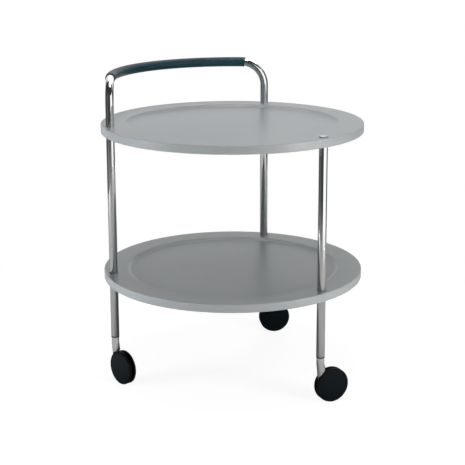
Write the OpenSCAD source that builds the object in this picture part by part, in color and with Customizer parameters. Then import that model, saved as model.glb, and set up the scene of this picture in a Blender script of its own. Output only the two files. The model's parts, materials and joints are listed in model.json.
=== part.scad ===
// Round two-tier serving trolley on three twin-disc castors.
// Millimetres, +Z up, z = 0 at the floor, origin on the trays' axis.

/* [Trays] */
// Diameter of each round tray
tray_d = 600; // [520:5:680]
// Thickness of the tray board
tray_t = 19; // [16:1:24]
// Height of the lower tray's top above the floor
lower_top = 261; // [220:1:300]
// Height of the upper tray's top above the floor
upper_top = 602; // [540:1:680]
// Width of the flat ring round the dished recess
rim_w = 51.5; // [44:0.5:60]
// Width of the soft slope from the ring down to the recess floor
cove_w = 13.5; // [8:0.5:20]
// Depth of the dished recess
recess_depth = 6; // [4.5:0.5:7]
// Rounding of the tray's outer edges
edge_r = 2; // [1:0.5:4]

/* [Tubes] */
// Outer diameter of the legs and the handle
tube_d = 19; // [16:0.5:22]
// Wall of the tube
tube_wall = 1.5; // [1:0.1:2]
// Board left between a tube and the tray's outer edge
tube_margin = 9.5; // [8:0.5:14]
// Direction of the front leg, seen from above
front_angle = -45; // [-60:1:-30]
// Height of the tubes' lower ends above the floor
tube_bottom = 109; // [100:1:130]
// Height of the handle's centre line above the upper tray
handle_rise = 102; // [85:1:130]
// Centre-line radius of the bends beside the handle
bend_r = 57; // [40:1:70]

/* [Grip] */
// Wall of the grip sleeve
grip_wall = 2; // [1.5:0.1:3.5]
// Angle that the sleeve runs into each bend
grip_lap = 9; // [0.5:0.5:20]
// Gap between the sleeve and the tube
grip_gap = 0.05; // [0.02:0.01:0.1]

/* [Tray fixings] */
// Diameter of the cross pins that carry the trays
pin_d = 5; // [4:0.5:6]
// Length of a cross pin that stands out on each side of the tube
pin_reach = 6; // [4:0.5:8]
// Depth of board over the top of the front leg
cap_board = 7; // [5:0.5:9]
// Diameter of the cap screw's head
cap_d = 20.5; // [17:0.5:24]
// Height of the cap screw's head
cap_h = 3.5; // [2.5:0.5:6]
// Height of the straight side under the head's dome
cap_side = 1.2; // [0.5:0.1:2]
// Diameter of the cap screw's thread
cap_thread_d = 8; // [6:1:10]
// Length of the cap screw under its head
cap_thread_l = 22; // [16:1:30]
// Length of the threaded plug in the front leg
plug_l = 20; // [12:1:30]

/* [Castors] */
// Diameter over a wheel's tyre
wheel_d = 78; // [70:1:84]
// Width of one wheel disc at its hub
disc_w = 7.6; // [7:0.1:10]
// Height of the dome on a disc's outer face
dome_h = 1.4; // [0.8:0.1:2]
// Thickness of the soft tyre
tyre_t = 3.5; // [2.5:0.5:5]
// Rounding of the tyre's outer edge
tyre_r = 2.2; // [1:0.1:3]
// Distance from the swivel axis to the axle
trail = 28; // [24:1:34]
// Diameter of the axle
axle_d = 6; // [5:0.5:8]
// Thickness of the castor body's blade between the two discs
blade_t = 4.4; // [3:0.1:6]
// Diameter of the castor body's neck
neck_d = 17.5; // [15.5:0.5:20]
// Height of the round neck above the flare
neck_h = 14; // [10:1:18]
// Distance that the neck flares towards the axle
flare = 4; // [2:0.5:5]
// Distance that the neck's leading edge slopes in
neck_taper = 3.4; // [1:0.1:5]
// Thickness of the socket's flange, the dark ring under the tube
flange_t = 2.4; // [1.5:0.1:4]
// Diameter of the socket's flange
flange_d = 18.4; // [16:0.1:21]
// Length of the socket inside the tube
socket_l = 34; // [24:1:45]
// Diameter of the swivel pin
swivel_d = 10; // [8:0.5:11]
// Depth of the swivel pin in the castor body
swivel_depth = 20; // [14:1:24]
// Direction in which the front castor trails
front_trail_angle = 25.7; // [-180:0.1:180]
// Direction in which the left castor trails
left_trail_angle = -47.3; // [-180:0.1:180]
// Direction in which the rear castor trails
rear_trail_angle = 8.7; // [-180:0.1:180]

/* [Fits] */
// Radial clearance of a shaft that turns in a bore
run_gap = 0.05; // [0.02:0.01:0.1]
// Radial clearance of a piece that is pressed or bonded in place
press_gap = 0.02; // [0.01:0.01:0.05]
// Radial clearance of a tube in a tray
tray_gap = 0.15; // [0.1:0.05:0.3]
// Clearance between a wheel and the castor body beside it
side_gap = 0.4; // [0.3:0.05:0.8]
// Clearance between a tyre and the hollow cut for it in the castor body
tread_gap = 1.2; // [0.6:0.1:2]

/* [Hidden] */

$fn = 96;
cut = 1; // what a cut runs past the face that it opens
arc_steps = 8; // steps in a rounded stretch of an outline

lacquer_grey = [0.60, 0.62, 0.63];
chrome_grey = [0.82, 0.83, 0.84];
steel_grey = [0.62, 0.63, 0.65];
grip_dark = [0.14, 0.19, 0.23];
nylon_black = [0.10, 0.10, 0.11];
tyre_black = [0.06, 0.06, 0.07];

// Legs: three on one circle, at equal angles
FRONT = 0;
REAR = 1;
LEFT = 2;
leg_r = tray_d / 2 - tube_margin - tube_d / 2;
leg_angles = [front_angle, front_angle + 120, front_angle + 240];
trail_angles = [front_trail_angle, rear_trail_angle, left_trail_angle];
tube_bore = tube_d - 2 * tube_wall;

// Handle: an arc round the trays' axis that the two bends meet end to end
handle_r = sqrt(leg_r * leg_r - bend_r * bend_r);
handle_z = upper_top + handle_rise;
handle_mid = (leg_angles[REAR] + leg_angles[LEFT]) / 2;
handle_half = handle_mid - leg_angles[REAR] - atan(bend_r / handle_r);
grip_bore = tube_d + 2 * grip_gap;
grip_d = grip_bore + 2 * grip_wall;

// Tray fixings
recess_r = tray_d / 2 - rim_w;
pin_l = tube_d + 2 * pin_reach;
pin_chamfer = 0.5;
groove_gap = 0.3; // what a groove leaves free all round a pin
groove_w = pin_d + groove_gap;
groove_l = pin_l + 2 * groove_gap;
pin_seat = 0.1; // what a pin stays under the roof of its groove
groove_depth = pin_d + pin_seat;
leg_top = upper_top - cap_board;
cap_hole_gap = 0.3;
cap_hole_d = cap_thread_d + 2 * cap_hole_gap;
cap_dome_h = cap_h - cap_side;
cap_dome_r = (cap_d * cap_d / 4 + cap_dome_h * cap_dome_h) / (2 * cap_dome_h);

// Castors, each drawn with its swivel axis on Z and its axle on the +X side
wheel_r = wheel_d / 2;
axle_z = wheel_r;
disc_in = blade_t / 2 + side_gap;
disc_out = disc_in + disc_w;
rim_out = disc_out - dome_h;
core_r = wheel_r - tyre_t;
tyre_proud = 0.3; // what the tyre stands out past the disc's rim
tyre_out = rim_out + tyre_proud;
tyre_in_r = 0.8; // rounding of the tyre's inner edge
wheel_bore_r = axle_d / 2 + run_gap;
bore_cover = 1.8; // disc left over the end of its blind bore
bore_end = disc_out - bore_cover;
axle_end_gap = 0.3;
axle_end = bore_end - axle_end_gap;
hub_wall = 4;
hub_r = axle_d / 2 + hub_wall;
web_t = 3; // thickness of the disc's web at its rim
web_in = rim_out - web_t;
rim_t = 3.5; // thickness of the disc's rim under the tyre
snap_depth = 0.45; // depth of the axle's snap groove
snap_gap = 0.15; // what the snap rib leaves free in its groove
snap_half = 0.5; // half the width of the snap rib
snap_inset = 1.6; // from the disc's inner face to the snap rib's middle
snap_at = disc_in + snap_inset;

neck_top = tube_bottom - flange_t;
neck_low = neck_top - neck_h;
flare_d = neck_d - 3; // width of the flare's trailing end
flare_x = neck_d / 2 + flare - flare_d / 2;
flare_z = wheel_d;
chin_d = neck_d - 3.5; // width of the neck's lower end
chin_x = neck_taper + chin_d / 2 - neck_d / 2;
chin_rise = 16; // from the axle's height up to the neck's lower end
chin_z = axle_z + chin_rise;
slice = 1; // height of the discs that the neck's flare is stretched over
boss_wall = 6;
boss_r = axle_d / 2 + boss_wall;

pin_low = neck_top - swivel_depth;
ring_t = 1.2;
ring_w = 1.6;
ring_groove = 0.8; // depth of the retaining ring's groove
ring_gap = 0.3; // play between the socket and the retaining ring
ring_z = tube_bottom + socket_l + ring_gap;
pin_over = 3; // pin left above the retaining ring
pin_top = ring_z + ring_t + pin_over;
swivel_chamfer = 1;
ring_split = 40; // angle that the retaining ring is open over

// Points of an arc from angle a0 to a1 round a centre
function arc(x, y, r, a0, a1, n = arc_steps) =
  [for (i = [0:n]) [x + r * cos(a0 + (a1 - a0) * i / n), y + r * sin(a0 + (a1 - a0) * i / n)]];

function reverse(list) = [for (i = [len(list) - 1:-1:0]) list[i]];

function all_but_first(list) = [for (i = [1:len(list) - 1]) list[i]];

// Soft slope made of two equal arcs, level at both ends, from (x, y) out and up by w and h
function cove(x, y, w, h) =
  let (turn = 2 * atan(h / w), r = w / (2 * sin(turn)))
  concat(
    arc(x, y + r, r, -90, -90 + turn),
    all_but_first(arc(x + w, y + h - r, r, 90 + turn, 90))
  );

module at_leg(i) {
  rotate([0, 0, leg_angles[i]])
    translate([leg_r, 0, 0])
      children();
}

module at_castor(i) {
  translate([leg_r * cos(leg_angles[i]), leg_r * sin(leg_angles[i]), 0])
    rotate([0, 0, trail_angles[i]])
      children();
}

module at_axle() {
  translate([trail, 0, axle_z])
    rotate([-90, 0, 0])
      children();
}

// Trays

module tray_blank(top) {
  translate([0, 0, top - tray_t])
    rotate_extrude()
      polygon(concat(
        [[0, 0]],
        arc(tray_d / 2 - edge_r, edge_r, edge_r, -90, 0),
        arc(tray_d / 2 - edge_r, tray_t - edge_r, edge_r, 0, 90),
        reverse(cove(recess_r - cove_w, tray_t - recess_depth, cove_w, recess_depth)),
        [[0, tray_t - recess_depth]]
      ));
}

module tube_hole(i, top) {
  at_leg(i)
    translate([0, 0, top - tray_t - cut])
      cylinder(d = tube_d + 2 * tray_gap, h = tray_t + 2 * cut);
}

module pin_groove(i, top) {
  at_leg(i)
    translate([-groove_w / 2, -groove_l / 2, top - tray_t - cut])
      cube([groove_w, groove_l, groove_depth + cut]);
}

module upper_tray() {
  color(lacquer_grey)
    difference() {
      tray_blank(upper_top);
      for (i = [REAR, LEFT]) {
        tube_hole(i, upper_top);
        pin_groove(i, upper_top);
      }
      at_leg(FRONT) {
        translate([0, 0, upper_top - tray_t - cut])
          cylinder(d = tube_d + 2 * tray_gap, h = tray_t - cap_board + cut);
        translate([0, 0, upper_top - tray_t])
          cylinder(d = cap_hole_d, h = tray_t + cut);
      }
    }
}

module lower_tray() {
  color(lacquer_grey)
    difference() {
      tray_blank(lower_top);
      for (i = [FRONT, REAR, LEFT]) {
        tube_hole(i, lower_top);
        pin_groove(i, lower_top);
      }
    }
}

// Tubes

module straight_tube(from, to) {
  translate([0, 0, from])
    difference() {
      cylinder(d = tube_d, h = to - from);
      translate([0, 0, -cut])
        cylinder(d = tube_bore, h = to - from + 2 * cut);
    }
}

module pin_hole(top) {
  translate([0, 0, top - tray_t + pin_d / 2])
    rotate([90, 0, 0])
      cylinder(d = pin_d + 2 * press_gap, h = tube_d + 2 * cut, center = true);
}

module ring(outer, inner) {
  difference() {
    circle(d = outer);
    circle(d = inner);
  }
}

// A ring swept from the handle's middle, which is on +Y here, to the +X side and down the bend
// by an angle. Children are added in the frame of the arc's end, and the other half mirrors this one.
module hoop_sweep(outer, inner, bend_angle) {
  rotate([0, 0, handle_mid - 90])
    for (side = [0, 1])
      mirror([side, 0, 0])
        intersection() {
          rotate([0, 0, 90 - handle_half]) {
            translate([0, 0, handle_z])
              rotate_extrude(angle = handle_half + cut)
                translate([handle_r, 0])
                  ring(outer, inner);
            translate([handle_r, 0, handle_z - bend_r])
              mirror([0, 1, 0])
                rotate([0, -90, 0])
                  rotate_extrude(angle = bend_angle)
                    translate([bend_r, 0])
                      ring(outer, inner);
            children();
          }
          translate([0, -tray_d, 0])
            cube([tray_d, 2 * tray_d, handle_z + tray_d]);
        }
}

module hoop_tube() {
  color(chrome_grey)
    difference() {
      hoop_sweep(tube_d, tube_bore, 90)
        translate([handle_r, -bend_r, tube_bottom])
          linear_extrude(height = handle_z - bend_r - tube_bottom)
            ring(tube_d, tube_bore);
      for (i = [REAR, LEFT])
        at_leg(i) {
          pin_hole(upper_top);
          pin_hole(lower_top);
        }
    }
}

module front_leg() {
  color(chrome_grey)
    at_leg(FRONT)
      difference() {
        straight_tube(tube_bottom, leg_top);
        pin_hole(lower_top);
      }
}

module hand_grip() {
  color(grip_dark)
    hoop_sweep(grip_d, grip_bore, grip_lap);
}

// Tray fixings

module cross_pin(i, top) {
  at_leg(i)
    translate([0, 0, top - tray_t + pin_d / 2])
      rotate([90, 0, 0])
        rod(pin_d, pin_l, pin_chamfer);
}

// A rod with chamfered ends, centred on its middle
module rod(d, l, chamfer) {
  rotate_extrude()
    polygon([
      [0, -l / 2], [d / 2 - chamfer, -l / 2], [d / 2, -l / 2 + chamfer],
      [d / 2, l / 2 - chamfer], [d / 2 - chamfer, l / 2], [0, l / 2]
    ]);
}

module upper_tray_pins() {
  color(steel_grey)
    for (i = [REAR, LEFT])
      cross_pin(i, upper_top);
}

module lower_tray_pins() {
  color(steel_grey)
    for (i = [FRONT, REAR, LEFT])
      cross_pin(i, lower_top);
}

module cap_screw() {
  color(chrome_grey)
    at_leg(FRONT) {
      translate([0, 0, upper_top])
        intersection() {
          cylinder(d = cap_d, h = cap_h);
          translate([0, 0, cap_h - cap_dome_r])
            sphere(r = cap_dome_r);
        }
      translate([0, 0, upper_top - cap_thread_l])
        cylinder(d = cap_thread_d, h = cap_thread_l);
    }
}

module leg_plug() {
  color(steel_grey)
    at_leg(FRONT)
      translate([0, 0, leg_top - plug_l])
        difference() {
          cylinder(d = tube_bore - 2 * press_gap, h = plug_l);
          translate([0, 0, -cut])
            cylinder(d = cap_thread_d + 2 * press_gap, h = plug_l + 2 * cut);
        }
}

// Castors

module castor_socket(i) {
  color(nylon_black)
    at_castor(i)
      difference() {
        union() {
          translate([0, 0, neck_top])
            cylinder(d = flange_d, h = flange_t);
          translate([0, 0, neck_top])
            cylinder(d = tube_bore - 2 * press_gap, h = flange_t + socket_l);
        }
        translate([0, 0, neck_top - cut])
          cylinder(d = swivel_d + 2 * run_gap, h = flange_t + socket_l + 2 * cut);
      }
}

// The neck spreads from a round bar to a longer foot that the two discs cut into
module neck_flare() {
  hull() {
    translate([0, 0, neck_low - slice])
      cylinder(d = neck_d, h = slice, $fn = 32);
    translate([flare_x, 0, flare_z - slice])
      cylinder(d = flare_d, h = slice, $fn = 32);
    translate([chin_x, 0, chin_z])
      cylinder(d = chin_d, h = slice, $fn = 32);
  }
}

// The blade reaches from the neck to the axle between the discs
module blade() {
  turn = atan2(axle_z - flare_z, trail);
  rotate([90, 0, 0])
    linear_extrude(height = blade_t, center = true) {
      translate([trail, axle_z])
        circle(r = boss_r);
      polygon([
        [chin_x - chin_d / 4, chin_z + slice],
        [trail + boss_r * sin(turn), axle_z - boss_r * cos(turn)],
        [trail - boss_r * sin(turn), axle_z + boss_r * cos(turn)],
        [flare_x + flare_d / 4, flare_z - slice],
        [0, flare_z]
      ]);
    }
}

module disc_hollow(side) {
  at_axle()
    translate([0, 0, side < 0 ? -disc_out - neck_d : blade_t / 2])
      cylinder(r = wheel_r + tread_gap, h = disc_out + neck_d - blade_t / 2);
}

module castor_body(i) {
  color(chrome_grey)
    at_castor(i)
      difference() {
        union() {
          translate([0, 0, neck_low])
            cylinder(d = neck_d, h = neck_h);
          difference() {
            neck_flare();
            disc_hollow(-1);
            disc_hollow(1);
          }
          blade();
        }
        translate([0, 0, pin_low])
          cylinder(d = swivel_d + 2 * press_gap, h = swivel_depth + cut);
        at_axle()
          cylinder(d = axle_d + 2 * press_gap, h = blade_t + 2 * cut, center = true);
      }
}

module swivel_pin(i) {
  color(steel_grey)
    at_castor(i)
      rotate_extrude()
        polygon([
          [0, pin_low],
          [swivel_d / 2, pin_low],
          [swivel_d / 2, ring_z],
          [swivel_d / 2 - ring_groove, ring_z],
          [swivel_d / 2 - ring_groove, ring_z + ring_t + press_gap],
          [swivel_d / 2, ring_z + ring_t + press_gap],
          [swivel_d / 2, pin_top - swivel_chamfer],
          [swivel_d / 2 - swivel_chamfer, pin_top],
          [0, pin_top]
        ]);
}

module pin_ring(i) {
  color(steel_grey)
    at_castor(i)
      translate([0, 0, ring_z + press_gap / 2])
        rotate([0, 0, ring_split / 2])
          rotate_extrude(angle = 360 - ring_split)
            translate([swivel_d / 2 - ring_groove + press_gap, 0])
              square([ring_w, ring_t]);
}

module axle(i) {
  color(steel_grey)
    at_castor(i)
      at_axle()
        difference() {
          rod(axle_d, 2 * axle_end, pin_chamfer);
          for (side = [-1, 1])
            translate([0, 0, side * snap_at])
              rotate_extrude()
                translate([axle_d / 2 - snap_depth, -snap_half - snap_gap])
                  square([snap_depth + cut, 2 * (snap_half + snap_gap)]);
        }
}

module on_side(side) {
  if (side > 0) children();
  else mirror([0, 0, 1]) children();
}

// Each disc has a blind bore that snaps over the axle, a web and a domed outer face
module wheel(i, side) {
  dome_r = (core_r * core_r + dome_h * dome_h) / (2 * dome_h);
  dome_turn = asin(core_r / dome_r);
  snap_r = axle_d / 2 - snap_depth + snap_gap;
  color(nylon_black)
    at_castor(i)
      at_axle()
        on_side(side)
          rotate_extrude()
            polygon(concat(
              [
                [wheel_bore_r, disc_in],
                [hub_r, disc_in],
                [hub_r, web_in],
                [core_r - rim_t, web_in],
                [core_r - rim_t, disc_in],
                [core_r, disc_in]
              ],
              arc(0, disc_out - dome_r, dome_r, 90 - dome_turn, 90),
              [
                [0, bore_end],
                [wheel_bore_r, bore_end],
                [wheel_bore_r, snap_at + snap_half],
                [snap_r, snap_at + snap_half],
                [snap_r, snap_at - snap_half],
                [wheel_bore_r, snap_at - snap_half]
              ]
            ));
}

module tyre(i, side) {
  color(tyre_black)
    at_castor(i)
      at_axle()
        on_side(side)
          rotate_extrude()
            polygon(concat(
              [[core_r + press_gap, disc_in]],
              arc(wheel_r - tyre_in_r, disc_in + tyre_in_r, tyre_in_r, -90, 0, 3),
              arc(wheel_r - tyre_r, tyre_out - tyre_r, tyre_r, 0, 90),
              [[core_r + press_gap, tyre_out]]
            ));
}

upper_tray();
lower_tray();
hoop_tube();
front_leg();
hand_grip();
cap_screw();
leg_plug();
upper_tray_pins();
lower_tray_pins();
castor_socket(FRONT);  // front_socket
castor_socket(LEFT);  // left_socket
castor_socket(REAR);  // rear_socket
castor_body(FRONT);  // front_castor_body
castor_body(LEFT);  // left_castor_body
castor_body(REAR);  // rear_castor_body
swivel_pin(FRONT);  // front_swivel_pin
swivel_pin(LEFT);  // left_swivel_pin
swivel_pin(REAR);  // rear_swivel_pin
pin_ring(FRONT);  // front_pin_ring
pin_ring(LEFT);  // left_pin_ring
pin_ring(REAR);  // rear_pin_ring
axle(FRONT);  // front_axle
axle(LEFT);  // left_axle
axle(REAR);  // rear_axle
wheel(FRONT, -1);  // front_wheel_a
wheel(LEFT, -1);  // left_wheel_a
wheel(REAR, -1);  // rear_wheel_a
wheel(FRONT, 1);  // front_wheel_b
wheel(LEFT, 1);  // left_wheel_b
wheel(REAR, 1);  // rear_wheel_b
tyre(FRONT, -1);  // front_tyre_a
tyre(LEFT, -1);  // left_tyre_a
tyre(REAR, -1);  // rear_tyre_a
tyre(FRONT, 1);  // front_tyre_b
tyre(LEFT, 1);  // left_tyre_b
tyre(REAR, 1);  // rear_tyre_b
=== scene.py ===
import json
import math

import bmesh
import bpy
from mathutils import Matrix, Vector


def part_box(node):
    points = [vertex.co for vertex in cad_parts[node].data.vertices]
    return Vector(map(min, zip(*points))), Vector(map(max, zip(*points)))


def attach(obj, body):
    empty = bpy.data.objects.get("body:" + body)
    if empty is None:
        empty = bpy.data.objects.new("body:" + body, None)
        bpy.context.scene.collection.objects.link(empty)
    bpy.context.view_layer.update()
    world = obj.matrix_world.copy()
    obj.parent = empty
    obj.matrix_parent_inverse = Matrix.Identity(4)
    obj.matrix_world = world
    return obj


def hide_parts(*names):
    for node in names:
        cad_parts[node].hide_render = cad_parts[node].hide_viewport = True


# Round two-tier serving trolley: the finish of every surface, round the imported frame.
# Lengths are in metres, +Z is up, and the origin is on the floor under the trays' centre.
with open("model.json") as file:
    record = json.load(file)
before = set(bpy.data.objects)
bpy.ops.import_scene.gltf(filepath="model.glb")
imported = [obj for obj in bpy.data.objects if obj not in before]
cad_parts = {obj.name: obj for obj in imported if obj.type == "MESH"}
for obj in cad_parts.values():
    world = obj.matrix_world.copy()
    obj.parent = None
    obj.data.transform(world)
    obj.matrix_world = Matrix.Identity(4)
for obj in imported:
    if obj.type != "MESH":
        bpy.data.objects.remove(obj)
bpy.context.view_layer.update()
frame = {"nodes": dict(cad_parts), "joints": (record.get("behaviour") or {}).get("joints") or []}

MM = 0.001
FULL_TURN = 2 * math.pi
QUARTER = math.pi / 2
MERGE = 0.002 * MM  # points closer than this are one point
OVER = 2 * MM  # what a cutter runs past the face that it opens

# Trays
RIM_W = 51.5 * MM  # flat ring outside the recess
COVE_W = 13.5 * MM  # soft slope from the ring down to the recess
COVE_SHARE = 0.6  # how much of the slope's two radii its lower arc takes
RECESS_DEPTH = 6 * MM
EDGE_R = 2 * MM  # rounding of the outer edges
EDGE_HOLD = 0.6 * MM  # narrow strip beside each rounding, which keeps the flats flat
HOLE_R = 9.65 * MM  # round a tube
HOLE_ARRIS = 0.8 * MM  # the sanded edge of a hole
GROOVE_W = 5.3 * MM  # groove for a cross pin, under the board
GROOVE_L = 31.6 * MM
GROOVE_DEPTH = 5.1 * MM
CAP_HOLE_R = 4.3 * MM
TRAY_STEPS = 240

# Tubes and grip
TUBE_R = 9.5 * MM
TUBE_WALL = 1.5 * MM
TUBE_ARRIS = 0.25 * MM
BEND_R = 57 * MM  # at the tube's centre line
GRIP_R = 11.55 * MM
GRIP_WALL = 1.98 * MM
GRIP_LIP = 0.75 * MM  # rounding of the sleeve's ends
GRIP_LAP = math.radians(9)  # how far the sleeve runs into each bend
ROUND_SIDES = 64  # sides of a tube
ARC_STEPS = 112  # rings along the handle's arc
BEND_STEPS = 32  # rings in a quarter bend

# Cap screw
CAP_R = 10.25 * MM
CAP_H = 3.5 * MM
CAP_EDGE_R = 1.7 * MM  # rounding of the edge
CAP_DOME_R = 45 * MM  # of the low dome inside the edge
CAP_ARRIS = 0.35 * MM
CAP_FOOT_R = 6 * MM  # the cap stands on a narrower foot, which leaves a dark line under its brim
CAP_FOOT_H = 0.5 * MM
THREAD_R = 4 * MM
THREAD_L = 22 * MM

# Castors
NECK_R = 8.75 * MM
NECK_H = 14 * MM
FLARE_R = 7.25 * MM  # the neck's trailing end, where it spreads
FLARE_X = 5.5 * MM
FLARE_Z = 78 * MM
CHIN_R = 7 * MM  # the neck's lower end
CHIN_X = 1.65 * MM
CHIN_Z = 54.9 * MM
HOLLOW_R = 40.2 * MM  # the hollow that each disc turns in
BLADE_T = 4.4 * MM
BLADE_BITE = 1 * MM  # how far the blade's corners sit inside the neck
BOSS_R = 9 * MM
CAST_ARRIS = 0.5 * MM
FLANGE_R = 9.2 * MM
FLANGE_T = 2.4 * MM
FLANGE_ARRIS = 0.25 * MM
RING_DROP = 0.6 * MM  # what the dark ring reaches below its solid, and the casting's top with it
SOCKET_R = 7.98 * MM
SOCKET_L = 34 * MM
SWIVEL_R = 5.03 * MM
SWIVEL_GAP = 0.03 * MM  # running gap between the bush and the casting that turns under it
SWIVEL_DEPTH = 20 * MM
WHEEL_R = 39 * MM
CORE_R = 35.5 * MM  # the disc under its tread
DISC_IN = 2.6 * MM  # from the castor's middle to the disc's inner face
DISC_OUT = 10.2 * MM
DOME_H = 1.4 * MM
SHOULDER_R = 0.7 * MM  # rounding of the disc's outer edge, which leaves a fine line beside the tread
SHOULDER_LIFT = 0.05 * MM  # lets the rounding meet the dome
AXLE_R = 3.04 * MM
HUB_R = 7 * MM
WEB_T = 3 * MM
RIM_T = 3.5 * MM
BORE_END = 8.4 * MM
TREAD_OUT = 9.1 * MM
TREAD_R = 2.2 * MM
TREAD_IN_R = 0.8 * MM
TREAD_LIP = 0.3 * MM
TREAD_GAP = 0.02 * MM
DISC_STEPS = 96

# Camera, fitted to the rims of both trays
CAMERA_AWAY = 2.742  # level distance from the trays' axis
CAMERA_Z = 1.075
CAMERA_TURN = math.radians(1.46)  # round the trays' axis
CAMERA_PITCH = math.radians(12.851)
CAMERA_ROLL = math.radians(-0.154)
CAMERA_LENS = 94.07  # on a sensor 36 mm wide
CAMERA_SHIFT = -0.1

# Studio
FLOOR_R = 2.2
FLOOR_SIDES = 128
PAINTED_SHADE_R = (0.15, 0.38)  # where the shadow painted on the floor under the trolley starts to fade, and ends
PAINTED_SHADE_CODES = ("#707070", "#BEBEBE")  # the floor's grey in that painted shadow, and outside it
SHADOW_R = (0.5, 1.1)  # where the shadow that the camera sees starts to fade, and ends
SHADOW_CODE = "#8A8A8A"  # the share of the seen floor that takes the shadow
SHADOW_GLOW = 0.86  # the share that is lit from within
SCREEN_R = 1.4  # of the screens that stand round the trolley
SCREEN_LOW = 0.07
SCREEN_STEPS = 24
CEILING_Z = 2.5  # of the two level sheets over the trolley
CEILING_Y = (-2.4, 0.45)  # the dark one, which draws the dark arches on the bends
CEILING_W = 8.0
SHEET_Y = (0.5, 1.9)  # the bright one, which evens out the far slopes of the recesses
SHEET_W = 3.0
SHEET_LEVEL = 3.3
LAMP_SIZE = 0.8
LAMP_AIM = (0, 0, 0.35)
WORLD_LEVEL = 0.17  # plain light from all round

joints = {joint["name"]: joint for joint in frame["joints"]}
LEGS = ("front", "rear", "left")
SIDES = {"a": -1, "b": 1}  # the two discs of a castor
foot = {leg: Vector(joints[leg + "_swivel"]["pos_m"]) for leg in LEGS}
leg_turn = {leg: math.atan2(foot[leg].y, foot[leg].x) for leg in LEGS}  # where each leg stands
trail = {leg: Vector(joints[leg + "_roll_a"]["pos_m"]) - foot[leg] for leg in LEGS}
trail_turn = {leg: math.atan2(trail[leg].y, trail[leg].x) for leg in LEGS}  # where each castor trails
trail_l = trail["front"].xy.length
neck_top = foot["front"].z  # top of the casting's solid
neck_low = neck_top - NECK_H  # where the neck starts to narrow
ring_low = neck_top - RING_DROP
tube_bottom = neck_top + FLANGE_T
leg_r = foot["front"].xy.length
handle_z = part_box("hoop_tube")[1].z - TUBE_R
handle_r = math.sqrt(leg_r ** 2 - BEND_R ** 2)
bend_share = math.atan(BEND_R / handle_r)  # the angle that a bend takes of the handle's arc
arc_start = leg_turn["rear"] + bend_share
arc_end = leg_turn["left"] % FULL_TURN - bend_share


# Working in edit mode

def only(piece):
    """Selects this piece and nothing else."""
    bpy.ops.object.select_all(action="DESELECT")
    piece.select_set(True)
    bpy.context.view_layer.objects.active = piece


def settle(piece):
    """Puts the piece's own origin at the frame's, and its place in its mesh."""
    only(piece)
    bpy.ops.object.transform_apply(location=True, rotation=True, scale=True)
    return piece


def begin(name):
    """Names the primitive that was just added and opens it for editing, all selected."""
    piece = settle(bpy.context.object)
    piece.name = name
    piece.data.name = name
    bpy.ops.object.mode_set(mode="EDIT")
    bpy.ops.mesh.select_all(action="SELECT")
    return piece


def end(piece):
    """Merges doubles, turns the faces outwards and leaves edit mode."""
    bpy.ops.mesh.select_all(action="SELECT")
    bpy.ops.mesh.remove_doubles(threshold=MERGE)
    bpy.ops.mesh.normals_make_consistent(inside=False)
    bpy.ops.object.mode_set(mode="OBJECT")
    return piece


def pick(piece, test):
    """Selects the points of the open piece that pass a test of their place."""
    bpy.ops.mesh.select_mode(type="VERT")
    bpy.ops.mesh.select_all(action="DESELECT")
    mesh = bmesh.from_edit_mesh(piece.data)
    for point in mesh.verts:
        point.select_set(test(point.co))
    mesh.select_flush(True)
    bmesh.update_edit_mesh(piece.data)


def extrude(step):
    """Extrudes what is selected by a step, and leaves the new end selected."""
    bpy.ops.mesh.extrude_region_move(TRANSFORM_OT_translate={"value": step})


def smooth(piece, corner=35):
    """Smooths everything but edges sharper than a corner, in degrees."""
    only(piece)
    bpy.ops.object.shade_smooth_by_angle(angle=math.radians(corner))
    return piece


def finish_with(piece, kind, **settings):
    """Adds a modifier with its settings and applies it."""
    only(piece)
    bpy.ops.object.modifier_add(type=kind)
    modifier = piece.modifiers[-1]
    for name, value in settings.items():
        setattr(modifier, name, value)
    bpy.ops.object.modifier_apply(modifier=modifier.name)
    return piece


def round_edges(piece, width, steps=2, corner=60):
    """Rounds every edge that is sharper than a corner, in degrees."""
    return finish_with(
        piece, "BEVEL", width=width, segments=steps, limit_method="ANGLE", angle_limit=math.radians(corner),
    )


def combine(piece, other, how="DIFFERENCE"):
    """Cuts one piece with another, or joins them, and throws the other away."""
    finish_with(piece, "BOOLEAN", object=other, operation=how, solver="EXACT")
    bpy.data.objects.remove(other)


def arc(x, z, radius, start, stop, steps=6):
    """Points of an arc round (x, z), with its angles in degrees."""
    turns = [math.radians(start + (stop - start) * i / steps) for i in range(steps + 1)]
    return [(x + radius * math.cos(t), z + radius * math.sin(t)) for t in turns]


def chain(name, points):
    """Draws edges through points (x, z) in the XZ plane: one point is placed, then extruded on."""
    bpy.ops.object.select_all(action="DESELECT")
    bpy.ops.mesh.primitive_plane_add(size=MM)
    piece = begin(name)
    bpy.ops.mesh.merge(type="CENTER")
    bpy.ops.transform.translate(value=(points[0][0], 0, points[0][1]))
    for (x0, z0), (x1, z1) in zip(points, points[1:]):
        extrude((x1 - x0, 0, z1 - z0))
    bpy.ops.mesh.select_all(action="SELECT")
    return piece


def lathe(name, points, steps=DISC_STEPS):
    """Spins an outline of (radius, height) points round the Z axis."""
    piece = chain(name, points)
    bpy.ops.mesh.spin(steps=steps, angle=FULL_TURN, center=(0, 0, 0), axis=(0, 0, 1))
    return end(piece)


def move(piece, place):
    """Moves a piece by a matrix, into its mesh."""
    piece.matrix_world = place
    return settle(piece)


def copy(piece, name, place):
    """A copy of a finished piece with a mesh of its own, moved to its place."""
    made = piece.copy()
    made.data = piece.data.copy()
    made.name = name
    made.data.name = name
    bpy.context.collection.objects.link(made)
    return move(made, place)


def at_leg(leg, turn=0):
    """The place of a piece that was made on the Z axis, when it stands on a leg's axis, turned."""
    return Matrix.Translation((foot[leg].x, foot[leg].y, 0)) @ Matrix.Rotation(turn, 4, "Z")


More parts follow.
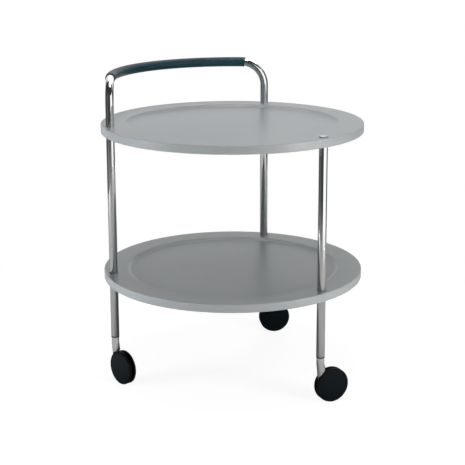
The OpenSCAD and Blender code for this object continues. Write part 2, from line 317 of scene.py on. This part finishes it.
def fit(piece, body, slot, material, *nodes):
    """Gives a piece its material and its body, and hides the CAD nodes that it stands for. The slot is
    passed in but not used.
    """
    piece.data.materials.clear()
    piece.data.materials.append(material)
    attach(piece, body)
    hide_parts(*nodes)


# Trays

def cove(x, z, width, height, steps=9):
    """Soft slope of two arcs, level at both ends, from (x, z) out and up."""
    turn = 2 * math.atan(height / width)
    both = width / math.sin(turn)
    low_r, high_r = COVE_SHARE * both, (1 - COVE_SHARE) * both
    lower = arc(x, z + low_r, low_r, -90, -90 + math.degrees(turn), steps)
    upper = arc(x + width, z + height - high_r, high_r, 90 + math.degrees(turn), 90, steps)
    return lower + upper[1:]


def tray_outline(radius, low, high):
    """The board's section: from the middle below, round the edge, to the middle of the recess."""
    level = high - RECESS_DEPTH
    recess_r = radius - RIM_W
    slope = cove(recess_r - COVE_W, level, COVE_W, RECESS_DEPTH)
    return [
        (0, low), (radius - EDGE_R - EDGE_HOLD, low),
        *arc(radius - EDGE_R, low + EDGE_R, EDGE_R, -90, 0),
        *arc(radius - EDGE_R, high - EDGE_R, EDGE_R, 0, 90),
        (radius - EDGE_R - EDGE_HOLD, high), (recess_r + EDGE_HOLD, high),
        *reversed(slope),
        (recess_r - COVE_W - EDGE_HOLD, level), (0, level),
    ]


def drill(low, high, radius, arris=0):
    """A cutter for a round hole, with a sanded edge at its top if it comes out there."""
    top = [(0, high)]
    if arris:
        top = [(radius + arris, high), (radius + arris, high + OVER), (0, high + OVER)]
    return lathe("drill", [(0, low), (radius, low), (radius, high - arris), *top], ROUND_SIDES)


def groove(low):
    """A cutter for the groove that a cross pin lies in, under the board."""
    bpy.ops.object.select_all(action="DESELECT")
    bpy.ops.mesh.primitive_cube_add(size=1, location=(0, 0, low + (GROOVE_DEPTH - OVER) / 2))
    piece = begin("groove")
    bpy.ops.transform.resize(value=(GROOVE_W, GROOVE_L, GROOVE_DEPTH + OVER))
    return end(piece)


def tray(name, node, through):
    """One round board, with a hole and a groove at each leg that passes through it."""
    low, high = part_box(node)
    radius = min(high.x, high.y, -low.x, -low.y)
    piece = lathe(name, tray_outline(radius, low.z, high.z), TRAY_STEPS)
    for leg in LEGS:
        if leg in through:
            cutters = [drill(low.z - OVER, high.z, HOLE_R, HOLE_ARRIS), groove(low.z)]
        else:
            cutters = [
                drill(low.z - OVER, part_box("front_leg")[1].z, HOLE_R),
                drill(low.z, high.z, CAP_HOLE_R, HOLE_ARRIS),
            ]
        for cutter in cutters:
            combine(piece, move(cutter, at_leg(leg, leg_turn[leg])))
    return smooth(piece)


# Tubes and grip

def follow_hoop(name, radius, lap):
    """A round sweep along the handle's arc and down both bends by an angle, left open at its ends.

    With an angle of a whole quarter turn it runs on down both legs.
    """
    up = Vector((0, 0, 1))
    out = Vector((math.cos(arc_start), math.sin(arc_start), 0))
    away = out.cross(up)  # level, along the arc's end and away from its middle
    pivot = out * handle_r + up * (handle_z - BEND_R)
    centre = pivot + BEND_R * (away * math.sin(lap) + up * math.cos(lap))
    heading = up * math.sin(lap) - away * math.cos(lap)
    bpy.ops.object.select_all(action="DESELECT")
    bpy.ops.mesh.primitive_circle_add(vertices=ROUND_SIDES, radius=radius, fill_type="NOTHING")
    turned = Matrix((out, heading.cross(out), heading)).transposed().to_4x4()
    move(bpy.context.object, Matrix.Translation(centre) @ turned)
    piece = begin(name)
    straight = (centre.z - tube_bottom) * up if lap == QUARTER else None
    if straight:
        bpy.ops.transform.translate(value=-straight)
        extrude(straight)
    steps = round(BEND_STEPS * lap / QUARTER)
    bpy.ops.mesh.spin(steps=steps, angle=lap, center=pivot, axis=out)
    bpy.ops.mesh.spin(steps=ARC_STEPS, angle=arc_start - arc_end, center=(0, 0, 0), axis=up)
    out = Vector((math.cos(arc_end), math.sin(arc_end), 0))
    pivot = out * handle_r + up * (handle_z - BEND_R)
    bpy.ops.mesh.spin(steps=steps, angle=lap, center=pivot, axis=out)
    if straight:
        extrude(-straight)
    return end(piece)


def wall(piece, thickness):
    """Gives an open sweep its wall, inwards."""
    return finish_with(piece, "SOLIDIFY", thickness=thickness, offset=-1)


def hoop():
    """The bent tube: two legs and the handle, with its wall and its cut ends."""
    piece = wall(follow_hoop("bent_hoop", TUBE_R, QUARTER), TUBE_WALL)
    return smooth(round_edges(piece, TUBE_ARRIS))


def straight_leg():
    """The straight tube, from its castor to its seat in the upper board."""
    low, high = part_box("front_leg")
    bpy.ops.object.select_all(action="DESELECT")
    bpy.ops.mesh.primitive_cylinder_add(
        vertices=ROUND_SIDES, radius=TUBE_R, depth=high.z - low.z, end_fill_type="NOTHING",
        location=(foot["front"].x, foot["front"].y, (low.z + high.z) / 2),
    )
    piece = wall(end(begin("straight_leg")), TUBE_WALL)
    return smooth(round_edges(piece, TUBE_ARRIS))


def grip():
    """The soft sleeve that is pulled over the handle, with rounded ends."""
    piece = wall(follow_hoop("grip_sleeve", GRIP_R, GRIP_LAP), GRIP_WALL)
    return smooth(round_edges(piece, GRIP_LIP, steps=4), corner=50)


def cap():
    """The screw over the straight leg: a low dome with a round edge, on a narrower foot."""
    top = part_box("cap_screw")[1].z
    seat = top - CAP_H
    tip = seat - THREAD_L
    tilt = math.asin((CAP_R - CAP_EDGE_R) / (CAP_DOME_R - CAP_EDGE_R))  # of the dome where the edge starts
    edge_z = top - CAP_DOME_R + (CAP_DOME_R - CAP_EDGE_R) * math.cos(tilt)
    half = math.degrees(tilt)
    piece = lathe("cap_dome", [
        (0, tip), (THREAD_R - CAP_ARRIS, tip), (THREAD_R, tip + CAP_ARRIS), (THREAD_R, seat),
        (CAP_FOOT_R, seat), (CAP_FOOT_R, seat + CAP_FOOT_H), (CAP_R, seat + CAP_FOOT_H),
        *arc(CAP_R - CAP_EDGE_R, edge_z, CAP_EDGE_R, 0, 90 - half, steps=10),
        *arc(0, top - CAP_DOME_R, CAP_DOME_R, 90 - half, 90, steps=10)[1:],
    ], ROUND_SIDES)
    return smooth(move(piece, at_leg("front")), corner=40)


# Castors, each made with its swivel on the Z axis and its axle towards +X

def neck():
    """The casting's neck: a round bar drawn down to a chin, with its trailing side pulled out."""
    bpy.ops.object.select_all(action="DESELECT")
    bpy.ops.mesh.primitive_cylinder_add(
        vertices=ROUND_SIDES, radius=NECK_R, depth=ring_low - neck_low,
        location=(0, 0, (ring_low + neck_low) / 2),
    )
    piece = begin("neck")
    pick(piece, lambda co: co.z < neck_low + MERGE)
    extrude((CHIN_X, 0, CHIN_Z - neck_low))
    bpy.ops.transform.resize(
        value=(CHIN_R / NECK_R, CHIN_R / NECK_R, 1), center_override=(CHIN_X, 0, CHIN_Z),
    )
    bpy.ops.mesh.select_all(action="SELECT")
    bpy.ops.mesh.bisect(plane_co=(0, 0, FLARE_Z), plane_no=(0, 0, 1))
    share = (neck_low - FLARE_Z) / (neck_low - CHIN_Z)
    ring_x = CHIN_X * share
    ring_r = NECK_R + (CHIN_R - NECK_R) * share
    pick(piece, lambda co: abs(co.z - FLARE_Z) < MERGE and co.x > ring_x + MERGE)
    bpy.ops.transform.resize(
        value=(FLARE_R / ring_r, FLARE_R / ring_r, 1), center_override=(ring_x, 0, FLARE_Z),
    )
    bpy.ops.transform.translate(value=(FLARE_X - ring_x, 0, 0))
    return end(piece)


def hollow(side):
    """A cutter for the hollow that one disc turns in."""
    width = 2 * NECK_R
    bpy.ops.object.select_all(action="DESELECT")
    bpy.ops.mesh.primitive_cylinder_add(
        vertices=2 * DISC_STEPS, radius=HOLLOW_R, depth=width, rotation=(QUARTER, 0, 0),
        location=(trail_l, side * (BLADE_T + width) / 2, WHEEL_R),
    )
    return end(begin("hollow"))


def blade():
    """The flat blade between the discs, from the neck to the round boss at the axle."""
    turn = math.degrees(math.atan2(WHEEL_R - FLARE_Z, trail_l))
    start = (CHIN_X - CHIN_R / 2, CHIN_Z + BLADE_BITE)
    piece = chain("blade", [
        start,
        *arc(trail_l, WHEEL_R, BOSS_R, turn - 90, turn + 90, steps=24),
        (FLARE_X + FLARE_R / 2, FLARE_Z - BLADE_BITE), (0, FLARE_Z), start,
    ])
    bpy.ops.mesh.remove_doubles(threshold=MERGE)
    bpy.ops.mesh.edge_face_add()
    bpy.ops.transform.translate(value=(0, -BLADE_T / 2, 0))
    extrude((0, BLADE_T, 0))
    return end(piece)


def at_axle(side=1):
    """The place of a piece that was made on the Z axis, when it turns on the axle."""
    return Matrix.Translation((trail_l, 0, WHEEL_R)) @ Matrix.Rotation(-side * QUARTER, 4, "X")


def casting():
    """The castor's body: neck, a hollow for each disc, blade and bores, with its edges rounded."""
    piece = neck()
    combine(piece, hollow(-1))
    combine(piece, hollow(1))
    combine(piece, blade(), "UNION")
    round_edges(piece, CAST_ARRIS, steps=3, corner=30)
    combine(piece, drill(neck_top - SWIVEL_DEPTH, neck_top + OVER, SWIVEL_R))
    combine(piece, move(drill(-BLADE_T, BLADE_T, AXLE_R), at_axle()))
    return smooth(piece)


def bush():
    """The socket pressed into the tube's end, whose flange shows as a dark ring."""
    low = ring_low + SWIVEL_GAP
    top = tube_bottom + SOCKET_L
    piece = lathe("bush", [
        (SWIVEL_R, low), (FLANGE_R - FLANGE_ARRIS, low),
        *arc(FLANGE_R - FLANGE_ARRIS, low + FLANGE_ARRIS, FLANGE_ARRIS, -90, 0, steps=3),
        *arc(FLANGE_R - FLANGE_ARRIS, tube_bottom - FLANGE_ARRIS, FLANGE_ARRIS, 0, 90, steps=3),
        (SOCKET_R, tube_bottom), (SOCKET_R, top - FLANGE_ARRIS), (SOCKET_R - FLANGE_ARRIS, top),
        (SWIVEL_R, top), (SWIVEL_R, low),
    ], ROUND_SIDES)
    return smooth(piece)


def disc():
    """One wheel disc: hub, web and rim inside, a low dome outside, and a blind bore."""
    rim_out = DISC_OUT - DOME_H
    dome_r = (CORE_R ** 2 + DOME_H ** 2) / (2 * DOME_H)
    half = math.degrees(math.asin((CORE_R - SHOULDER_R) / dome_r))
    shoulder_z = rim_out - SHOULDER_R + SHOULDER_LIFT
    piece = lathe("disc", [
        (0, BORE_END), (AXLE_R, BORE_END), (AXLE_R, DISC_IN), (HUB_R, DISC_IN), (HUB_R, rim_out - WEB_T),
        (CORE_R - RIM_T, rim_out - WEB_T), (CORE_R - RIM_T, DISC_IN), (CORE_R, DISC_IN),
        *arc(CORE_R - SHOULDER_R, shoulder_z, SHOULDER_R, 0, 80, steps=4),
        *arc(0, DISC_OUT - dome_r, dome_r, 90 - half, 90, steps=16),
    ])
    return smooth(piece)


def tread():
    """The soft tread round a disc, rounded outside and with a fine lip beside the disc's face."""
    inner = CORE_R + TREAD_GAP
    start = (inner, DISC_IN)
    piece = lathe("tread", [
        start,
        *arc(WHEEL_R - TREAD_IN_R, DISC_IN + TREAD_IN_R, TREAD_IN_R, -90, 0, steps=4),
        *arc(WHEEL_R - TREAD_R, TREAD_OUT - TREAD_R, TREAD_R, 0, 90, steps=8),
        *arc(inner + TREAD_LIP, TREAD_OUT - TREAD_LIP, TREAD_LIP, 90, 180, steps=3),
        start,
    ])
    return smooth(piece)


# Materials

def linear(code):
    """A colour given as an sRGB hex code, turned to linear."""
    parts = [int(code[i:i + 2], 16) / 255 for i in (1, 3, 5)]
    return (*[p / 12.92 if p <= 0.04045 else ((p + 0.055) / 1.055) ** 2.4 for p in parts], 1)


def add(tree, kind, inputs=None, stops=None, **settings):
    """Adds a node with its settings, its links or values, and the stops of its ramp."""
    node = tree.nodes.new("ShaderNode" + kind)
    for name, value in settings.items():
        setattr(node, name, value)
    for name, value in (inputs or {}).items():
        if isinstance(value, bpy.types.NodeSocket):
            tree.links.new(value, node.inputs[name])
        else:
            node.inputs[name].default_value = value
    for number, (place, code) in enumerate(stops or []):
        stop = node.color_ramp.elements[number] if number < 2 else node.color_ramp.elements.new(place)
        stop.position = place
        stop.color = linear(code)
    return node


def empty(made):
    """Clears the node tree of a new material or world, and gives it back."""
    made.use_nodes = True
    made.node_tree.nodes.clear()
    return made.node_tree


def finish(name, code, rough, metal=0.0, **values):
    """A material that starts from one Principled shader, with Object coordinates to draw on."""
    made = bpy.data.materials.new(name)
    tree = empty(made)
    look = {"Base Color": linear(code), "Roughness": rough, "Metallic": metal, **values}
    shader = add(tree, "BsdfPrincipled", look)
    tree.links.new(shader.outputs["BSDF"], add(tree, "OutputMaterial").inputs["Surface"])
    place = add(tree, "TexCoord").outputs["Object"]
    return made, tree, shader, place


def sprayed_lacquer():
    """Satin polyurethane lacquer, sprayed on sanded board.

    The film dries with a faint pebbled skin about 3 mm from crest to crest, which softens every
    reflection, and its gloss and tint drift a little across a tray.
    """
    made, tree, shader, place = finish("sprayed_satin_lacquer", "#91979A", 0.34, IOR=1.5)
    drift = add(tree, "TexNoise", {"Vector": place, "Scale": 1 / (90 * MM), "Detail": 3})
    tint = add(tree, "ValToRGB", {"Fac": drift.outputs["Fac"]}, [(0.3, "#8E9497"), (0.7, "#949A9D")])
    gloss = add(tree, "MapRange", {"Value": drift.outputs["Fac"], "To Min": 0.32, "To Max": 0.36})
    skin = add(tree, "TexNoise", {"Vector": place, "Scale": 1 / (3 * MM), "Detail": 2, "Roughness": 0.4})
    bump = add(tree, "Bump", {"Height": skin.outputs["Fac"], "Strength": 0.25, "Distance": 0.012 * MM})
    tree.links.new(tint.outputs["Color"], shader.inputs["Base Color"])
    tree.links.new(gloss.outputs["Result"], shader.inputs["Roughness"])
    tree.links.new(bump.outputs["Normal"], shader.inputs["Normal"])
    return made


def chromed_tube():
    """Bright chrome plate on drawn steel tube.

    A near mirror. The drawn tube under it is very slightly wavy along its length, so straight
    reflections waver, and handling leaves the gloss a little uneven.
    """
    made, tree, shader, place = finish("bright_chromed_tube", "#DADCDD", 0.06, 1.0)
    long = add(tree, "Mapping", {"Vector": place, "Scale": (1, 1, 0.2)})
    wave = add(tree, "TexNoise", {"Vector": long.outputs["Vector"], "Scale": 1 / (12 * MM), "Detail": 1})
    bump = add(tree, "Bump", {"Height": wave.outputs["Fac"], "Strength": 0.3, "Distance": 0.03 * MM})
    smear = add(tree, "TexNoise", {"Vector": place, "Scale": 1 / (30 * MM), "Detail": 4})
    gloss = add(tree, "MapRange", {"Value": smear.outputs["Fac"], "To Min": 0.03, "To Max": 0.1})
    tree.links.new(bump.outputs["Normal"], shader.inputs["Normal"])
    tree.links.new(gloss.outputs["Result"], shader.inputs["Roughness"])
    return made


def chromed_casting():
    """Chrome plate on a tumbled and polished zinc casting.

    Softer than the tube: the polish follows the casting's skin, so highlights spread a little.
    """
    made, tree, shader, place = finish("polished_chromed_casting", "#E8E9EA", 0.12, 1.0)
    skin = add(tree, "TexNoise", {"Vector": place, "Scale": 1 / (5 * MM), "Detail": 2})
    bump = add(tree, "Bump", {"Height": skin.outputs["Fac"], "Strength": 0.3, "Distance": 0.04 * MM})
    gloss = add(tree, "MapRange", {"Value": skin.outputs["Fac"], "To Min": 0.08, "To Max": 0.18})
    tree.links.new(bump.outputs["Normal"], shader.inputs["Normal"])
    tree.links.new(gloss.outputs["Result"], shader.inputs["Roughness"])
    return made


def chromed_cap():
    """Dull chrome plate on a turned steel cap.

    A grey mirror with the rings that the lathe leaves, which are drawn about 1.3 mm apart, coarser
    than they are, so that they show.
    """
    made, tree, shader, place = finish("dull_chromed_cap", "#A4A6A8", 0.1, 1.0)
    middle = add(tree, "Mapping", {"Vector": place, "Location": (-foot["front"].x, -foot["front"].y, 0)})
    ring = add(
        tree, "TexWave", {"Vector": middle.outputs["Vector"], "Scale": 1 / (4 * MM), "Distortion": 0.4},
        wave_type="RINGS", rings_direction="Z",
    )
    gloss = add(tree, "MapRange", {"Value": ring.outputs["Fac"], "To Min": 0.07, "To Max": 0.13})
    tree.links.new(gloss.outputs["Result"], shader.inputs["Roughness"])
    return made


def turned_steel():
    """Zinc-plated turned steel, for pins, rings and axles: pale, dull and slightly cloudy."""
    made, tree, shader, place = finish("turned_zinc_plated_steel", "#B9BCBF", 0.35, 1.0)
    cloud = add(tree, "TexNoise", {"Vector": place, "Scale": 1 / (4 * MM), "Detail": 4})
    tint = add(tree, "ValToRGB", {"Fac": cloud.outputs["Fac"]}, [(0.3, "#AFB3B8"), (0.7, "#C2C4C4")])
    gloss = add(tree, "MapRange", {"Value": cloud.outputs["Fac"], "To Min": 0.28, "To Max": 0.45})
    tree.links.new(tint.outputs["Color"], shader.inputs["Base Color"])
    tree.links.new(gloss.outputs["Result"], shader.inputs["Roughness"])
    return made


def vinyl_sleeve():
    """Extruded soft vinyl, blue-black, slipped over the tube.

    Smooth and fairly glossy, with a slow drift of gloss from stretching, and a skin grain that is
    drawn 1.2 mm wide, coarser than it is, so that it shows.
    """
    made, tree, shader, place = finish(
        "extruded_soft_vinyl", "#1F373F", 0.36, **{"Specular IOR Level": 0.13},
    )
    grain = add(tree, "TexNoise", {"Vector": place, "Scale": 1 / (1.2 * MM), "Detail": 2})
    bump = add(tree, "Bump", {"Height": grain.outputs["Fac"], "Strength": 0.25, "Distance": 0.02 * MM})
    drift = add(tree, "TexNoise", {"Vector": place, "Scale": 1 / (40 * MM), "Detail": 3})
    tint = add(tree, "ValToRGB", {"Fac": drift.outputs["Fac"]}, [(0.3, "#1C343C"), (0.7, "#223A43")])
    gloss = add(tree, "MapRange", {"Value": drift.outputs["Fac"], "To Min": 0.32, "To Max": 0.42})
    tree.links.new(bump.outputs["Normal"], shader.inputs["Normal"])
    tree.links.new(tint.outputs["Color"], shader.inputs["Base Color"])
    tree.links.new(gloss.outputs["Result"], shader.inputs["Roughness"])
    return made


def moulded_nylon(name, rough, gloss):
    """Injection-moulded black nylon, its mould finished by spark.

    A satin skin with a faintly blue sheen. The spark texture is drawn 0.6 mm wide, coarser than it
    is, so that it shows.
    """
    made, tree, shader, place = finish(
        name, "#05090C", rough, **{"Specular IOR Level": gloss, "Specular Tint": linear("#C8E8F2")},
    )
    spark = add(tree, "TexNoise", {"Vector": place, "Scale": 1 / (0.6 * MM), "Detail": 3})
    bump = add(tree, "Bump", {"Height": spark.outputs["Fac"], "Strength": 0.3, "Distance": 0.02 * MM})
    drift = add(tree, "TexNoise", {"Vector": place, "Scale": 1 / (18 * MM), "Detail": 3})
    tint = add(tree, "ValToRGB", {"Fac": drift.outputs["Fac"]}, [(0.3, "#04080B"), (0.7, "#070B0F")])
    tree.links.new(bump.outputs["Normal"], shader.inputs["Normal"])
    tree.links.new(tint.outputs["Color"], shader.inputs["Base Color"])
    return made


def soft_tread():
    """Moulded soft polyurethane: nearly black and matt, with scuffs a shade paler."""
    made, tree, shader, place = finish("moulded_soft_tread", "#050506", 0.5, **{"Specular IOR Level": 0.15})
    scuff = add(tree, "TexNoise", {"Vector": place, "Scale": 1 / (3 * MM), "Detail": 5, "Roughness": 0.6})
    tint = add(tree, "ValToRGB", {"Fac": scuff.outputs["Fac"]}, [(0.45, "#040405"), (0.75, "#0A0A0B")])
    bump = add(tree, "Bump", {"Height": scuff.outputs["Fac"], "Strength": 0.3, "Distance": 0.03 * MM})
    tree.links.new(tint.outputs["Color"], shader.inputs["Base Color"])
    tree.links.new(bump.outputs["Normal"], shader.inputs["Normal"])
    return made


# Studio

def place_camera():
    """The photograph's view: a long lens a little above the upper tray."""
    sensor = bpy.data.cameras.new("camera")
    sensor.lens = CAMERA_LENS
    sensor.shift_y = CAMERA_SHIFT
    camera = bpy.data.objects.new("camera", sensor)
    bpy.context.collection.objects.link(camera)
    turn = Matrix.Rotation(CAMERA_TURN, 4, "Z")
    away = Matrix.Translation((0, -CAMERA_AWAY, CAMERA_Z))
    aimed = away @ Matrix.Rotation(QUARTER - CAMERA_PITCH, 4, "X")
    camera.matrix_world = turn @ aimed @ Matrix.Rotation(CAMERA_ROLL, 4, "Z")
    bpy.context.scene.camera = camera


def lamp(name, place, power, mirrored=False, code="#FFFFFF"):
    """A square soft lamp that faces the trolley. It isn't seen, but gloss may show it."""
    bpy.ops.object.light_add(type="AREA", location=place)
    made = bpy.context.object
    made.name = name
    made.data.size = LAMP_SIZE
    made.data.energy = power
    made.data.color = linear(code)[:3]
    made.rotation_euler = (Vector(LAMP_AIM) - Vector(place)).to_track_quat("-Z", "Y").to_euler()
    made.visible_camera = False
    made.visible_glossy = mirrored


def glow(name, level, stops):
    """Light whose grey changes with height, for what only metal and gloss show."""
    made = bpy.data.materials.new(name)
    tree = empty(made)
    height = add(tree, "SeparateXYZ", {"Vector": add(tree, "TexCoord").outputs["Object"]}).outputs["Z"]
    fade = add(tree, "ValToRGB", {"Fac": height}, stops)
    shader = add(tree, "Emission", {"Color": fade.outputs["Color"], "Strength": level})
    tree.links.new(shader.outputs["Emission"], add(tree, "OutputMaterial").inputs["Surface"])
    return made


def only_in_gloss(piece):
    """Makes a studio piece that metal and gloss show, and that is neither seen nor lights anything."""
    piece.visible_camera = False
    piece.visible_diffuse = False
    piece.visible_shadow = False


def screen(name, start, stop, high, level, *stops):
    """An upright screen round the trolley, between two directions in degrees right of the camera.

    It reaches up to a height. The level is the strength of its light, and the stops are its greys
    by height.
    """
    piece = chain(name, [(SCREEN_R, SCREEN_LOW), (SCREEN_R, high)])
    bpy.ops.mesh.spin(
        steps=SCREEN_STEPS, angle=math.radians(start - stop), center=(0, 0, 0), axis=(0, 0, 1),
    )
    end(piece)
    move(piece, Matrix.Rotation(math.radians(start) + CAMERA_TURN - QUARTER, 4, "Z"))
    piece.data.materials.append(glow(name, level, stops))
    only_in_gloss(piece)


def ceiling(name, reach, width, level, code):
    """A level sheet over the trolley, from one depth to another, that only metal and gloss show."""
    bpy.ops.object.select_all(action="DESELECT")
    bpy.ops.mesh.primitive_plane_add(size=1, location=(0, sum(reach) / 2, CEILING_Z))
    piece = begin(name)
    bpy.ops.transform.resize(value=(width, reach[1] - reach[0], 1))
    end(piece)
    piece.data.materials.append(glow(name, level, [(0, code), (1, code)]))
    only_in_gloss(piece)


def lay_floor():
    """A white floor. The camera sees it lit from within, so that only a soft shadow shows.

    To light and gloss it is a plain grey floor with a painted shadow of the trolley, darker under it.
    """
    bpy.ops.object.select_all(action="DESELECT")
    bpy.ops.mesh.primitive_circle_add(vertices=FLOOR_SIDES, radius=FLOOR_R, fill_type="NGON")
    piece = end(begin("floor"))
    made = bpy.data.materials.new("white_floor")
    tree = empty(made)
    seen = add(tree, "LightPath").outputs["Is Camera Ray"]
    place = add(tree, "TexCoord").outputs["Object"]
    away = add(tree, "VectorMath", {0: place}, operation="LENGTH").outputs["Value"]
    # painted shadow: the floor's grey goes darker towards the middle, under the trolley, as light and gloss
    # see it
    shade = add(tree, "ValToRGB", {"Fac": away}, list(zip(PAINTED_SHADE_R, PAINTED_SHADE_CODES))).outputs["Color"]
    plain = add(tree, "BsdfDiffuse", {"Color": shade}).outputs["BSDF"]
    dim = add(tree, "BsdfDiffuse", {"Color": linear(SHADOW_CODE)}).outputs["BSDF"]
    lit = add(tree, "Emission", {"Strength": SHADOW_GLOW}).outputs["Emission"]
    near = add(tree, "AddShader", {0: dim, 1: lit}).outputs["Shader"]
    far = add(tree, "Emission", {"Strength": 1.0}).outputs["Emission"]
    reach = add(tree, "MapRange", {"Value": away, "From Min": SHADOW_R[0], "From Max": SHADOW_R[1]})
    shown = add(tree, "MixShader", {0: reach.outputs["Result"], 1: near, 2: far}).outputs["Shader"]
    shader = add(tree, "MixShader", {0: seen, 1: plain, 2: shown})
    tree.links.new(shader.outputs["Shader"], add(tree, "OutputMaterial").inputs["Surface"])
    piece.data.materials.append(made)


def light_world():
    """White to the camera, white over a grey ground to gloss, and a plain level of light to the rest."""
    world = bpy.data.worlds.new("studio")
    bpy.context.scene.world = world
    tree = empty(world)
    path = add(tree, "LightPath")
    height = add(tree, "SeparateXYZ", {"Vector": add(tree, "TexCoord").outputs["Generated"]}).outputs["Z"]
    studio = add(tree, "ValToRGB", {"Fac": height}, [(0.0, "#A8A8A8"), (0.04, "#FFFFFF")])
    white = add(tree, "Background", {"Color": linear("#FFFFFF"), "Strength": 1.0}).outputs[0]
    room = add(tree, "Background", {"Color": studio.outputs["Color"], "Strength": 1.0}).outputs[0]
    plain = add(tree, "Background", {"Color": linear("#FFFFFF"), "Strength": WORLD_LEVEL}).outputs[0]
    gloss = add(tree, "MixShader", {0: path.outputs["Is Glossy Ray"], 1: plain, 2: room}).outputs[0]
    shader = add(tree, "MixShader", {0: path.outputs["Is Camera Ray"], 1: gloss, 2: white})
    tree.links.new(shader.outputs["Shader"], add(tree, "OutputWorld").inputs["Surface"])


# The studio is set up first, and then the trolley is made in it
place_camera()
light_world()
lay_floor()
ceiling("dark_ceiling", CEILING_Y, CEILING_W, 1.0, "#3C3C3C")
ceiling("bright_sheet", SHEET_Y, SHEET_W, SHEET_LEVEL, "#FFFFFF")
lamp("overhead_lamp", (0, -0.15, 2.4), power=18, mirrored=True)
lamp("right_lamp", (1.88, -1.3, 0.41), power=52, code="#FFF9F5")
lamp("left_lamp", (-2.1, -0.85, 0.37), power=52)
lamp("back_lamp", (0.4, 2.1, 0.4), power=16)
screen("white_screen", 18, 82, 1.6, 1.38, (0, "#E0E0E0"), (0.2, "#FFFFFF"))
screen("dark_front_screen", -53, 18, 1.9, 1.0, (0.1, "#8C8C8C"), (0.35, "#4A4A4A"))
screen("dark_right_screen", 82, 140, 1.4, 1.0, (0.1, "#5A5A5A"), (0.35, "#484848"))
screen("grey_left_screen", -78, -53, 1.3, 1.0, (0.1, "#9A9A9A"), (0.5, "#6A6A6A"))
screen("dark_left_screen", -125, -78, 1.9, 1.0, (0.1, "#585858"), (0.35, "#404040"))
bpy.context.scene.view_settings.view_transform = "Standard"

lacquer = sprayed_lacquer()
tube_chrome = chromed_tube()
cast_chrome = chromed_casting()
cap_chrome = chromed_cap()
steel = turned_steel()
vinyl = vinyl_sleeve()
disc_nylon = moulded_nylon("moulded_black_nylon", 0.33, 0.22)
bush_nylon = moulded_nylon("moulded_black_bush_nylon", 0.55, 0.1)
tread_polyurethane = soft_tread()

fit(tray("upper_board", "upper_tray", ("rear", "left")), "frame", "tray_lacquer", lacquer, "upper_tray")
fit(tray("lower_board", "lower_tray", LEGS), "frame", "tray_lacquer", lacquer, "lower_tray")
fit(hoop(), "frame", "tube_chrome", tube_chrome, "hoop_tube")
fit(straight_leg(), "frame", "tube_chrome", tube_chrome, "front_leg")
fit(grip(), "frame", "grip_sleeve", vinyl, "hand_grip")
fit(cap(), "frame", "tube_chrome", cap_chrome, "cap_screw")

made_once = {"casting": casting(), "bush": bush(), "disc": disc(), "tread": tread()}
for leg in LEGS:
    place = at_leg(leg, trail_turn[leg])
    body = copy(made_once["casting"], leg + "_casting", place)
    fit(body, leg + "_castor", "castor_chrome", cast_chrome, leg + "_castor_body")
    socket = copy(made_once["bush"], leg + "_bush", place)
    fit(socket, "frame", "socket_nylon", bush_nylon, leg + "_socket")
    for side, sign in SIDES.items():
        roller = f"{leg}_roller_{side}"
        wheel = copy(made_once["disc"], f"{leg}_disc_{side}", place @ at_axle(sign))
        fit(wheel, roller, "wheel_nylon", disc_nylon, f"{leg}_wheel_{side}")
        tyre = copy(made_once["tread"], f"{leg}_tread_{side}", place @ at_axle(sign))
        fit(tyre, roller, "tyre_rubber", tread_polyurethane, f"{leg}_tyre_{side}")
for piece in made_once.values():
    bpy.data.objects.remove(piece)

# What no piece stands for is a turned inner piece, whose solid stays
for node in frame["nodes"].values():
    if not node.hide_render:
        node.data.materials.clear()
        node.data.materials.append(steel)
